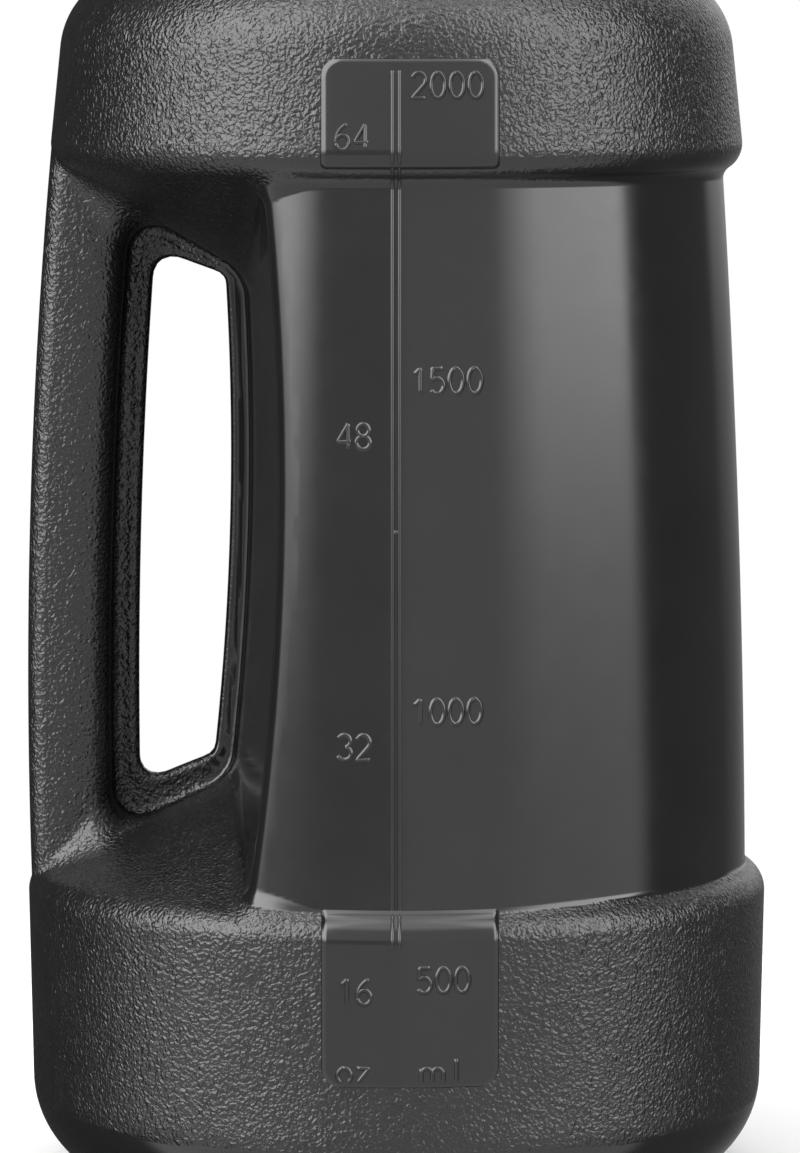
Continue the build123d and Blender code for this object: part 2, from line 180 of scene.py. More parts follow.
def outline_gap(r, z, chain):
    """Distance to the form on the chain's left, which is its inside."""
    runs, arcs = chain
    nearest = np.full(np.broadcast(r, z).shape, 1e9)
    for start, end in runs:
        along = (end - start) / np.linalg.norm(end - start)
        length = np.linalg.norm(end - start)
        dr, dz = r - start[0], z - start[1]
        t = np.clip(dr * along[0] + dz * along[1], 0, length)
        gap = np.hypot(dr - t * along[0], dz - t * along[1])
        gap = np.where(along[0] * dz - along[1] * dr > 0, -gap, gap)
        nearest = np.where(np.abs(gap) < np.abs(nearest), gap, nearest)
    for centre, first, last, radius, side in arcs:
        spoke = (r - centre[0], z - centre[1])
        within = (side * cross(first, spoke) >= 0) & (side * cross(spoke, last) >= 0)
        gap = side * (np.hypot(*spoke) - radius)
        nearest = np.where(within & (np.abs(gap) < np.abs(nearest)), gap, nearest)
    return nearest


LOWER = outline(
    [
        (-10, FOOT_PUSH_UP),
        (FOOT_INNER_R - FOOT_SLOPE_RUN, FOOT_PUSH_UP),
        (FOOT_INNER_R, 0),
        (BAND_LOW_R - BAND_LOW_DRAFT, 0),
        (BAND_LOW_R, BAND_LOW_TOP),
        (CONE_INNER_R, FLOOR_INNER_Z),
        (-10, FLOOR_INNER_Z),
    ],
    (FOOT_RING_R, FOOT_RING_R, FOOT_CORNER_R, BAND_EDGE_R, CONE_EDGE_R),
)
NECK_FOOT_Z = SHOULDER_Z + (SHOULDER_R - NECK_R) * math.tan(SHOULDER_SLOPE)
UPPER = outline(
    [
        (-10, CEILING_INNER_Z),
        (CONE_INNER_R, CEILING_INNER_Z),
        (BAND_HIGH_R, BAND_HIGH_BOTTOM),
        (SHOULDER_R, SHOULDER_Z),
        (NECK_R, NECK_FOOT_Z),
        (NECK_R, NECK_TOP + 10),
        (-10, NECK_TOP + 10),
    ],
    (CONE_EDGE_R, BAND_EDGE_R, SHOULDER_EDGE_R, NECK_FOOT_R, NECK_LIP_R),
)


def handle_reach(z):
    """How far from the axis the handle's outer side stands at that height."""
    return HANDLE_OUTER_R - (z - HANDLE_BOW_Z) ** 2 / (2 * HANDLE_BOW_R)


def recess_wall(z):
    """Where the recess's wall is along X at that height."""
    return RECESS_WALL_X - (z - BOW_Z) ** 2 / (2 * BOW_R)


def waist(x, y, z, r):
    """The barrel between the bands, cut flat towards the handle."""
    foot, middle, top = WAIST_RADII
    share = (z - WAIST_LOW) / (WAIST_HIGH - WAIST_LOW)
    bulge = 4 * middle - 2 * foot - 2 * top
    barrel_r = foot + (top - foot) * share + bulge * share * (1 - share)
    barrel = (r - barrel_r) * math.cos(math.atan((foot - top) / (WAIST_HIGH - WAIST_LOW)))
    splay = (np.hypot(y, RECESS_RIDGE) - RECESS_RIDGE) * math.tan(RECESS_SPLAY)
    wall = (recess_wall(z) + splay - x) * math.cos(RECESS_SPLAY)
    barrel = round_overlap(barrel, wall, WAIST_EDGE_R)
    return np.maximum(barrel, np.abs(z - WAIST_MIDDLE) - WAIST_MIDDLE + WAIST_LOW)


def handle(x, y, z):
    """The bowed handle tube."""
    upright = 1 / np.hypot(1, (z - HANDLE_BOW_Z) / HANDLE_BOW_R)
    off_middle = np.abs(x + handle_reach(z) - HANDLE_WIDTH / 2) * upright
    crown = HANDLE_CROWN * (np.minimum(off_middle, HANDLE_WIDTH) * 2 / HANDLE_WIDTH) ** 2
    across = off_middle - HANDLE_WIDTH / 2 + HANDLE_EDGE_R
    along = np.abs(y) + crown - HANDLE_DEPTH / 2 + HANDLE_EDGE_R
    corner = np.hypot(np.maximum(across, 0), np.maximum(along, 0))
    tube = corner + np.minimum(np.maximum(across, along), 0) - HANDLE_EDGE_R
    return np.maximum(tube, np.abs(z - WAIST_MIDDLE) - WAIST_MIDDLE + WAIST_LOW)


def web(x, y, z):
    """The pinched web between handle and waist, round the finger hole."""
    handle_side = HANDLE_WIDTH + WEB_RIM - handle_reach(z)
    wall_side = recess_wall(z) - WEB_WALL_RIM
    share = (x - handle_side) / (wall_side - handle_side)
    bottom = HOLE_OUTER_Z[0] + share * (HOLE_INNER_Z[0] - HOLE_OUTER_Z[0])
    top = HOLE_OUTER_Z[1] + share * (HOLE_INNER_Z[1] - HOLE_OUTER_Z[1])
    ends = np.maximum(bottom - z, z - top)
    hole = round_overlap(handle_side - x, ends, HOLE_HANDLE_R)
    hole = round_overlap(hole, x - wall_side, HOLE_WALL_R)
    thinning = WEB_THINNING * smooth(WEB_LIP - 0.4, WEB_LIP + 1.2, hole)
    plate = round_overlap(np.abs(y) - WEB_THICKNESS / 2 + thinning, -hole, WEB_EDGE_R)
    inner_edge = x - recess_wall(z) - WEB_THICKNESS
    outer_edge = -x - handle_reach(z) + HANDLE_WIDTH / 2
    middle_z = (BAND_LOW_TOP + BAND_HIGH_BOTTOM) / 2
    ends = np.abs(z - middle_z) - middle_z + BAND_LOW_TOP
    return np.maximum(np.maximum(plate, ends), np.maximum(inner_edge, outer_edge))


def band_skin(x, y, z, r):
    """Both bands. The lower one gives way at the front, so that its panel stays in the CAD box."""
    near_panel = smooth(42, 14, np.abs(x)) * smooth(0, -25, y) * smooth(8, 27, z)
    return np.minimum(outline_gap(r, z, LOWER) + FRONT_SINK * near_panel, outline_gap(r, z, UPPER))


def skin(x, y, z, r=None, pinched=True):
    """Distance to the body's outer skin, with or without the pinched web."""
    if r is None:
        r = np.hypot(x, y)
    bands = band_skin(x, y, z, r)
    in_recess = smooth(12, 24, -x)
    corner = LEDGE_CORNER_R + (RECESS_CORNER_R - LEDGE_CORNER_R) * in_recess
    body = round_union(bands, waist(x, y, z, r), corner)
    tube_corner = np.clip(0.8 * (handle_reach(z) - r), 0.3, HANDLE_CORNER_R)
    body = round_union(body, handle(x, y, z), tube_corner)
    if pinched:
        body = round_union(body, web(x, y, z), WEB_CORNER_R)
    return body


def grain_share(x, y, z):
    """1 where the skin has its leather grain, 0 on the waist, the foot and the neck."""
    r = np.hypot(x, y)
    bands = band_skin(x, y, z, r)
    tube, plate = handle(x, y, z), web(x, y, z)
    others = np.minimum(np.minimum(bands, tube), plate)
    off_waist = smooth(-0.3, 0.3, waist(x, y, z, r) - others)
    wall_rim = smooth(6, 3, np.abs(x - recess_wall(z))) * smooth(0.3, -0.3, plate - np.minimum(bands, tube))
    over_edge = z - BAND_HIGH_BOTTOM
    under_band = smooth(2.2, 0.8, over_edge) * smooth(-8, -4, over_edge)
    under_band = under_band * smooth(-1, -5, WAIST_LOW - z) * smooth(-30, -18, x)
    kept = (1 - 0.9 * wall_rim) * (1 - 0.75 * under_band)
    return off_waist * kept * smooth(-0.2, 0.2, z - SMOOTH_FOOT) * smooth(NECK_R + 2, NECK_R + 5, r)


def slope(points, field):
    """Gradient of a field at each point."""
    step = 0.02
    columns = []
    for axis in range(3):
        shift = np.zeros(3)
        shift[axis] = step
        ahead, behind = (points + shift).T, (points - shift).T
        columns.append((field(*ahead) - field(*behind)) / (2 * step))
    return np.stack(columns, 1)


def unit(vectors):
    """The vectors at length 1."""
    return vectors / np.linalg.norm(vectors, axis=1, keepdims=True)


def settle(points, field, rounds=3):
    """Moves points onto the surface where the field is 0."""
    for _ in range(rounds):
        gradient = slope(points, field)
        step = field(*points.T) / np.maximum((gradient**2).sum(1), 0.1)
        points = points - np.clip(step, -2, 2)[:, None] * gradient
    return points


# ---------------------------------------------------------------- meshes
def levels(*stretches):
    """Grid levels from (end, step) stretches, the first of which gives only the start."""
    values = [stretches[0][0]]
    for end, step in stretches[1:]:
        count = max(1, round((end - values[-1]) / step))
        values.extend(np.linspace(values[-1], end, count + 1)[1:])
    return np.array(values)


def level_surface(field, radii, angles, heights):
    """Quads where the field is 0, on a cylindrical grid that closes round the axis.

    Each grid cell that the surface passes gets one vertex, and each grid edge that it crosses gets
    one quad. Returns the points, the quads, and the number of the vertex in each cell."""
    turn = np.append(angles, angles[0] + 2 * np.pi)
    r = radii[:, None, None]
    x, y = r * np.cos(turn)[None, :, None], r * np.sin(turn)[None, :, None]
    values = field(x, y, heights[None, None, :], r=r)
    inside = values < 0
    count = tuple(size - 1 for size in values.shape)
    corners = [(i, j, k) for i in (0, 1) for j in (0, 1) for k in (0, 1)]
    total = sum(inside[i : i + count[0], j : j + count[1], k : k + count[2]].astype(np.int8)
                for i, j, k in corners)
    cells = np.argwhere((total > 0) & (total < 8))
    number = np.full(count, -1)
    number[tuple(cells.T)] = np.arange(len(cells))
    sums, crossings = np.zeros((len(cells), 3)), np.zeros(len(cells))
    grid = (radii, turn, heights)
    for first in corners:
        for axis in range(3):
            if first[axis]:
                continue
            a = cells + first
            b = a.copy()
            b[:, axis] += 1
            va, vb = values[tuple(a.T)], values[tuple(b.T)]
            crossed = (va < 0) != (vb < 0)
            t = np.where(crossed, va / np.where(crossed, va - vb, 1), 0)
            for column in range(3):
                start, end = grid[column][a[:, column]], grid[column][b[:, column]]
                sums[:, column] += np.where(crossed, start + t * (end - start), 0)
            crossings += crossed
    mean = sums / crossings[:, None]
    points = np.stack((mean[:, 0] * np.cos(mean[:, 1]), mean[:, 0] * np.sin(mean[:, 1]), mean[:, 2]), 1)
    quads = []
    for axis in range(3):
        b, c = (axis + 1) % 3, (axis + 2) % 3
        low = [slice(None)] * 3
        high = [slice(None)] * 3
        low[axis], high[axis] = slice(None, -1), slice(1, None)
        edges = np.argwhere(inside[tuple(low)] != inside[tuple(high)])
        for part in (b, c):
            if part != 1:
                edges = edges[(edges[:, part] > 0) & (edges[:, part] < values.shape[part] - 1)]
        edges = edges[edges[:, 1] < count[1]]
        around = []
        for db, dc in ((-1, -1), (0, -1), (0, 0), (-1, 0)):
            cell = edges.copy()
            cell[:, b] += db
            cell[:, c] += dc
            cell[:, 1] %= count[1]
            around.append(number[tuple(cell.T)])
        quad = np.stack(around, 1)
        out = ~inside[tuple(edges.T)]
        quad[out] = quad[out][:, ::-1]
        quads.append(quad)
    return points, np.concatenate(quads), number


def new_object(name, points, faces, normals=None, values=None):
    """A smooth mesh object from points in millimetres."""
    mesh = bpy.data.meshes.new(name)
    mesh.from_pydata((np.asarray(points) * MM).tolist(), [], [list(map(int, face)) for face in faces])
    mesh.polygons.foreach_set("use_smooth", [True] * len(mesh.polygons))
    if values is not None:
        mesh.attributes.new("grain", "FLOAT", "POINT").data.foreach_set("value", values.astype(np.float32))
    if normals is not None:
        mesh.normals_split_custom_set_from_vertices(normals.tolist())
    mesh.update()
    piece = bpy.data.objects.new(name, mesh)
    bpy.context.scene.collection.objects.link(piece)
    return piece


def grid_faces(rows, columns, closed_rows=False, closed_columns=False):
    """Quads between the points of a grid that is stored row by row."""
    i = np.arange(rows if closed_rows else rows - 1)[:, None]
    j = np.arange(columns if closed_columns else columns - 1)[None, :]
    below, after = (i + 1) % rows, (j + 1) % columns
    quads = [i * columns + j, i * columns + after, below * columns + after, below * columns + j]
    return np.stack([np.broadcast_to(q, np.broadcast(i, j).shape).ravel() for q in quads], 1)


def turned(profile, steps):
    """Points and quads of a closed (radius, height) profile turned round the axis."""
    profile = np.asarray(profile, float)
    angles = np.arange(steps) * 2 * np.pi / steps
    r, z = profile[:, 0][None, :], profile[:, 1][None, :]
    points = np.stack(
        [r * np.cos(angles)[:, None], r * np.sin(angles)[:, None], z + 0 * angles[:, None]], 2
    )
    return points.reshape(-1, 3), grid_faces(steps, len(profile), True, True)


# ---------------------------------------------------------------- materials
class Tree:
    """Short calls that add linked nodes to a node tree."""

    def __init__(self, owner):
        owner.use_nodes = True
        self.tree = owner.node_tree
        self.tree.nodes.clear()

    def add(self, kind, sockets=(), **settings):
        """A node with those settings, and its sockets set or linked."""
        node = self.tree.nodes.new("ShaderNode" + kind)
        for name, value in settings.items():
            setattr(node, name, value)
        for name, value in dict(sockets).items():
            if isinstance(value, bpy.types.NodeSocket):
                self.tree.links.new(value, node.inputs[name])
            else:
                node.inputs[name].default_value = value
        return node

    def math(self, operation, first, second=0.0, third=0.0):
        """What a sum of up to three values gives."""
        node = self.add("Math", {0: first, 1: second, 2: third}, operation=operation)
        return node.outputs[0]

    def step(self, value, low, high, start=0.0, end=1.0):
        """The start level below low, the end level above high, and a smooth step between them."""
        sockets = {0: value, 1: low, 2: high, 3: start, 4: end}
        return self.add("MapRange", sockets, interpolation_type="SMOOTHSTEP").outputs[0]

    def noise(self, vector, size, detail=2.0, roughness=0.5):
        """Noise from 0 to 1 with features of that many millimetres."""
        sockets = {"Vector": vector, "Scale": 1 / (size * MM), "Detail": detail, "Roughness": roughness}
        return self.add("TexNoise", sockets)


def moulded(name, colour, rough, waviness=0.012):
    """Injection-moulded plastic or rubber: faint flow waves, a fine skin texture, uneven gloss."""
    unevenness = 0.03
    material = bpy.data.materials.new(name)
    tree = Tree(material)
    place = tree.add("TexCoord").outputs["Object"]
    waves = tree.noise(place, 9.0, 1.0).outputs["Fac"]
    fine = tree.noise(place, 0.35, 3.0, 0.6).outputs["Fac"]
    height = tree.math("MULTIPLY_ADD", fine, 0.3, waves)
    bump = tree.add("Bump", {"Height": height, "Distance": waviness * MM, "Strength": 1.0})
    patches = tree.noise(place, 4.0, 4.0, 0.65).outputs["Fac"]
    gloss = tree.step(patches, 0.3, 0.7, rough - unevenness, rough + unevenness)
    shade = tree.step(tree.noise(place, 14.0, 2.0).outputs["Fac"], 0.25, 0.75)
    dark = tuple(0.86 * part for part in colour) + (1,)
    tint = tree.add("Mix", {0: shade, 6: dark, 7: colour + (1,)}, data_type="RGBA").outputs[2]
    surface = {"Base Color": tint, "Roughness": gloss, "Normal": bump.outputs[0]}
    shader = tree.add("BsdfPrincipled", surface)
    tree.add("OutputMaterial", {"Surface": shader.outputs[0]})
    return material


GRAIN_DEPTH = 0.2  # of the leather grain
WAVE_DEPTH = 0.05  # of the slow waves that blow moulding leaves
SMOOTH_GLOSS = (0.12, 0.16)  # roughness where it shines most and least
GRAIN_GLOSS = (0.24, 0.3)
DEEP_BLACK = (0.0035, 0.0035, 0.0037, 1)
PALE_BLACK = (0.0047, 0.0047, 0.0049, 1)


def grain_relief(tree, place):
    """Worm-like leather grain where the skin has it, and the parting line's thin ridge."""
    grain = tree.add("Attribute", attribute_name="grain").outputs["Fac"]
    drift = tree.noise(place, 0.9, 0.0).outputs["Color"]
    warped = tree.add("VectorMath", {0: drift, 1: (0.6 * MM,) * 3}, operation="MULTIPLY").outputs[0]
    warped = tree.add("VectorMath", {0: place, 1: warped}, operation="ADD").outputs[0]
    pebbles = tree.noise(warped, 0.62, 1.0).outputs["Fac"]
    middle = tree.math("SUBTRACT", tree.noise(warped, 1.0, 0.0).outputs["Fac"], 0.5)
    worms = tree.math("ABSOLUTE", middle)
    relief = tree.math("MULTIPLY", tree.math("MULTIPLY_ADD", worms, 1.6, pebbles), grain)
    across = tree.math("ABSOLUTE", tree.add("SeparateXYZ", {0: place}).outputs[1])
    seam = tree.step(across, 0.1 * MM, 0.3 * MM, 1.0, 0.0)
    return grain, tree.math("MULTIPLY_ADD", seam, 0.8, relief)


def black_plastic(name):
    """Blow-moulded polyethylene: glossy where it is smooth, and duller on the leather grain."""
    material = bpy.data.materials.new(name)
    tree = Tree(material)
    place = tree.add("TexCoord").outputs["Object"]
    grain, relief = grain_relief(tree, place)
    grained = tree.add("Bump", {"Height": relief, "Distance": GRAIN_DEPTH * MM, "Strength": 1.0})
    waves = {
        "Height": tree.noise(place, 22.0, 1.0).outputs["Fac"],
        "Distance": WAVE_DEPTH * MM, "Strength": 1.0, "Normal": grained.outputs[0],
    }
    bump = tree.add("Bump", waves).outputs[0]
    wear = tree.noise(place, 5.0, 4.0, 0.6).outputs["Fac"]
    smooth_gloss = tree.step(wear, 0.3, 0.7, *SMOOTH_GLOSS)
    grain_gloss = tree.step(wear, 0.3, 0.7, *GRAIN_GLOSS)
    gloss = tree.add("Mix", {0: grain, 2: smooth_gloss, 3: grain_gloss}).outputs[0]
    shade = tree.step(tree.noise(place, 30.0, 3.0).outputs["Fac"], 0.3, 0.7)
    tint = tree.add("Mix", {0: shade, 6: DEEP_BLACK, 7: PALE_BLACK}, data_type="RGBA").outputs[2]
    shader = tree.add("BsdfPrincipled", {"Base Color": tint, "Roughness": gloss, "Normal": bump})
    tree.add("OutputMaterial", {"Surface": shader.outputs[0]})
    return material


BLACK = black_plastic("black_polyethylene")
COLLAR = moulded("black_screw_cap", (0.012, 0.012, 0.013), 0.3)
TEAT = moulded("red_brown_rubber", (0.30, 0.055, 0.025), 0.42, waviness=0.02)
SEAL = moulded("grey_seal_rubber", (0.09, 0.09, 0.095), 0.55)
WHITE = moulded("white_valve_plastic", (0.72, 0.72, 0.69), 0.32)
BLUE = moulded("blue_disc_plastic", (0.03, 0.12, 0.42), 0.3)
BALL = moulded("ivory_ball_plastic", (0.75, 0.70, 0.58), 0.22)


def dress(piece, material):
    """Gives the piece that material alone."""
    piece.data.materials.clear()
    piece.data.materials.append(material)


# ---------------------------------------------------------------- the moulded body
HANDLE_ARC = (156, 204)  # degrees round the axis where the handle needs the finer steps
FINE_TURN = 0.6
COARSE_TURN = 1.6


def blown_body():
    """Outer and inner skin of the blown body, from the foot to just inside the neck's bead."""
    first, last = HANDLE_ARC
    fine = np.radians(np.arange(first, last, FINE_TURN))
    coarse = np.radians(last + np.arange(0, 360 - last + first, COARSE_TURN))
    angles = np.concatenate((fine, coarse))
    radii = levels((1,), (24, 2.5), (56, 1.3), (66.7, 0.55))
    heights = levels(
        (-1,), (22, 0.9), (49, 2.5), (60, 0.5), (78, 1.2), (156, 2.2), (176, 1.2), (188, 0.5),
        (198, 2.0), (SKIN_TOP - 0.5, 1.0), (SKIN_TOP + 0.5, 1.0),
    )
    outer, outer_quads, outer_number = level_surface(skin, radii, angles, heights)
    outer = settle(outer, skin)
    outer_normals = unit(slope(outer, skin))

    def lining(x, y, z, r=None):
        """Distance to the inner skin, one wall inside the outer one and without the web."""
        return skin(x, y, z, r, pinched=False) + WALL

    inner_radii = levels((1,), (24, 3.0), (66.7, 1.5))
    inner_heights = levels(
        (-1,), (22, 1.5), (49, 4), (78, 1.5), (156, 5), (198, 1.5), (SKIN_TOP - 0.5, 2), (SKIN_TOP + 0.5, 1)
    )
    inner, inner_quads, inner_number = level_surface(lining, inner_radii, angles, inner_heights)
    inner = settle(inner, lining)
    inner_normals = -unit(slope(inner, lining))
    shift = len(outer)
    faces = [outer_quads, inner_quads[:, ::-1] + shift]
    foot = outer_number[0].max(1)
    inner_foot = inner_number[0].max(1) + shift
    rim = outer_number[:, :, -1].max(0)
    inner_rim = inner_number[:, :, -1].max(0) + shift
    points = np.concatenate((outer, inner, [(0, 0, FOOT_PUSH_UP), (0, 0, FOOT_PUSH_UP + WALL)]))
    normals = np.concatenate((outer_normals, inner_normals, [(0, 0, -1), (0, 0, 1)]))
    axis_out, axis_in = len(points) - 2, len(points) - 1
    following = np.roll(np.arange(len(angles)), -1)
    faces.append(np.stack((rim, rim[following], inner_rim[following], inner_rim), 1))
    polygons = [list(face) for block in faces for face in block]
    polygons += [[axis_out, foot[b], foot[a]] for a, b in enumerate(following)]
    polygons += [[axis_in, inner_foot[a], inner_foot[b]] for a, b in enumerate(following)]
    grain = np.concatenate((grain_share(*outer.T), np.zeros(len(inner) + 2)))
    return points, polygons, normals, grain


points, polygons, normals, grain = blown_body()
body = new_object("blown_body", points, polygons, normals, grain)
dress(body, BLACK)
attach(body, "bottle")
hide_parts("bottle_body")


# ---------------------------------------------------------------- neck and teat
def rounded(points, radii, steps=6):
    """The chain of points with its inner corners turned into arcs."""
    runs, arcs = outline(points, radii)
    chain = [runs[0][0]]
    for centre, first, last, radius, side in arcs:
        swing = math.atan2(cross(first, last), first @ last)
        for angle in np.linspace(0, swing, steps + 1) if radius else (0.0,):
            c, s = math.cos(angle), math.sin(angle)
            chain.append(centre + (c * first[0] - s * first[1], s * first[0] + c * first[1]))
    return chain + [runs[-1][1]]


LIP_DEPTH = 2.0  # how far down the neck's side the rounded lip is drawn
NECK_STEP = 0.2  # between two rings of points on the threaded side
NECK_TURNS = 240  # points round the neck
THREAD_FADE = 0.06  # share of a turn in which the thread's ridge rises at its ends


def neck():
    """The neck with its bead, rounded lip and thread, whose ridge fades out at both ends."""
    bead_low, bead_high = BEAD_Z - BEAD_HEIGHT / 2, BEAD_Z + BEAD_HEIGHT / 2
    under_lip = NECK_TOP - LIP_DEPTH
    lip_corners = [
        (NECK_BORE_R, under_lip), (NECK_BORE_R, NECK_TOP), (NECK_R, NECK_TOP), (NECK_R, under_lip),
    ]
    lip = rounded(lip_corners, (NECK_LIP_R, NECK_LIP_R))
    heights = np.arange(under_lip - NECK_STEP, bead_high + NECK_STEP, -NECK_STEP)
    side = [(NECK_R, height) for height in heights]
    bead_corners = [
        (NECK_R, bead_high + NECK_STEP), (NECK_R, bead_high), (BEAD_R, bead_high), (BEAD_R, bead_low),
        (NECK_R, bead_low),
    ]
    bead = rounded(bead_corners, (BEAD_FOOT_R, BEAD_EDGE_R, BEAD_EDGE_R))
    bore = [(NECK_BORE_R, height) for height in np.linspace(bead_low, under_lip - 1, 8)]
    profile = np.array([tuple(point) for part in (bore, lip, side, bead) for point in part])
    points, faces = turned(profile, NECK_TURNS)
    grid = points.reshape(NECK_TURNS, len(profile), 3)
    turns = np.arange(NECK_TURNS)[:, None] / NECK_TURNS
    side_start = len(bore) + len(lip)
    ring = np.arange(len(profile))
    on_side = (ring >= side_start) & (ring < side_start + len(side))
    for wrap in (0, 1):
        wound = turns + wrap
        off = np.abs(grid[:, :, 2] - THREAD_START_Z - THREAD_PITCH * wound)
        rise = np.clip((THREAD_ROOT / 2 - off) / ((THREAD_ROOT - THREAD_CREST) / 2), 0, 1)
        ends = smooth(0, THREAD_FADE, wound) * smooth(0, THREAD_FADE, THREAD_TURNS - wound)
        grid[:, :, :2] *= 1 + (rise * ends * on_side * THREAD_DEPTH / NECK_R)[:, :, None]
    return grid.reshape(-1, 3), faces


teat_low, teat_high = box_mm("teat")
PLATE_TOP, TEAT_TIP = teat_low[2], teat_high[2]
COLLAR_TOP = box_mm("screw_collar")[1][2]
TEAT_BASE_R = 17.4
TEAT_WALL = 3.0
TEAT_TIP_WALL = 3.6
TEAT_HOLE_R = 1.2
TEAT_SIDE = ((TEAT_BASE_R, 0.0), (19.0, 8.0), (11.6, 56.0), (13.4, 80.0))  # radius, rise over the collar
TEAT_RING_RISES = (2.4, 4.6, 6.8)
TEAT_RING_STAND = 0.45
FLANGE_R = teat_high[0]
FLANGE_HEIGHT = 3.0
TEAT_TURNS = 144  # points round the teat


def teat_curve(inset, tip_inset, count):
    """Smooth (radius, height) points from the teat's base to its tip."""
    knots = [(radius - inset, COLLAR_TOP + rise) for radius, rise in TEAT_SIDE]
    knots = np.array(knots + [(0, TEAT_TIP - tip_inset)])
    lengths = np.concatenate(([0], np.cumsum(np.linalg.norm(np.diff(knots, axis=0), axis=1))))
    pulls = np.gradient(knots, lengths, axis=0)
    pulls[0], pulls[-1] = (0, 1), (-1.35, 0)
    places = np.linspace(0, lengths[-1], count)
    spans = np.clip(np.searchsorted(lengths, places, side="right") - 1, 0, len(knots) - 2)
    span = (lengths[spans + 1] - lengths[spans])[:, None]
    t = (places - lengths[spans])[:, None] / span
    return (
        (2 * t**3 - 3 * t**2 + 1) * knots[spans] + (t**3 - 2 * t**2 + t) * span * pulls[spans]
        + (3 * t**2 - 2 * t**3) * knots[spans + 1] + (t**3 - t**2) * span * pulls[spans + 1]
    )


def teat_form():
    """The hollow teat with its flange, grip rings over the collar and a pierced tip."""
    outer = teat_curve(0, 0, 260)
    rise = outer[:, 1] - COLLAR_TOP
    for height in TEAT_RING_RISES:
        outer[:, 0] += TEAT_RING_STAND * smooth(0.9, 0.2, np.abs(rise - height))
    outer = outer[outer[:, 0] > TEAT_HOLE_R + 0.5]
    inner = teat_curve(TEAT_WALL, TEAT_TIP_WALL, 90)[::-1]
    inner = inner[inner[:, 0] > TEAT_HOLE_R + 0.3]
    tip, under = outer[-1], inner[0]
    hole = rounded([tip, (TEAT_HOLE_R, tip[1] + 0.05), (TEAT_HOLE_R, under[1]), under], (0.35, 0.2))[1:-1]
    flange_top = PLATE_TOP + FLANGE_HEIGHT
    bore_r = TEAT_BASE_R - TEAT_WALL
    corners = [
        (bore_r, PLATE_TOP + 1), (bore_r, PLATE_TOP), (FLANGE_R, PLATE_TOP), (FLANGE_R, flange_top),
        (TEAT_BASE_R, flange_top), (TEAT_BASE_R, COLLAR_TOP - 0.4),
    ]
    flange = rounded(corners, (0.4, 0.5, 0.5, 0.3))
    return turned([tuple(point) for part in (flange, outer, hole, inner) for point in part], TEAT_TURNS)


points, faces = neck()
threaded_neck = new_object("threaded_neck", points, faces)
dress(threaded_neck, BLACK)
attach(threaded_neck, "bottle")
points, faces = teat_form()
soft_teat = new_object("soft_teat", points, faces)
dress(soft_teat, TEAT)
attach(soft_teat, "teat_unit")
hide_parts("teat")


# ---------------------------------------------------------------- what stands on the skin's front
PANEL_X = (-12.3, 16.9)
PANEL_CORNER_R = 3.0
PANEL_SQUARE_R = 0.5  # corners at the end that meets the waist
PANEL_BEVEL = 0.75  # width of its sloping edges
PANEL_STEP = 0.24  # between two points of its grid
PANEL_MARGIN = 0.4  # how far the grid reaches past its outline
PANEL_HIGH_Z = (181.6, 199.4)
PANEL_LOW_Z = (27.1, 56.4)
LINE_X = (-0.67, 0.5)
LINE_Z = (50.5, 197.7)
LINE_WIDTH = 0.7
LINE_STAND = 0.2
SPOT_Z = 120.4
SPOT_SIZE = 0.9
BURIED = 0.25  # how far what stands on the skin reaches into it
FIGURE_HEIGHT = 4.4
FIGURE_PITCH = 3.15
STROKE_WIDTH = 0.85
RIDGE_STEP = 0.2  # between two points along a line or a stroke
RIDGE_SIDE = [  # shares of the ridge's width and stand, or how deep below the skin
    (-0.52, -BURIED), (-0.5, -0.05), (-0.46, 0.06), (-0.14, 0.86), (-0.07, 0.97), (0.0, 1.0),
]
MARKS = (  # each figure, where it starts and the middle of its height
    ("2000", 2.5, 195.2), ("1500", 2.5, 145.8), ("1000", 2.5, 90.2), ("500", 3.5, 45.2),
    ("64", -10.2, 186.6), ("48", -10.0, 136.5), ("32", -10.0, 84.2), ("16", -9.8, 43.2),
    ("oz", -10.0, 29.6), ("ml", 4.0, 29.6),
)


def bend(x, z, half_width, half_height, start, end):
    """Part of an ellipse, from one angle in degrees to another."""
    angles = np.radians(np.linspace(start, end, max(3, round(abs(end - start) / 12))))
    return [(x + half_width * math.cos(a), z + half_height * math.sin(a)) for a in angles]


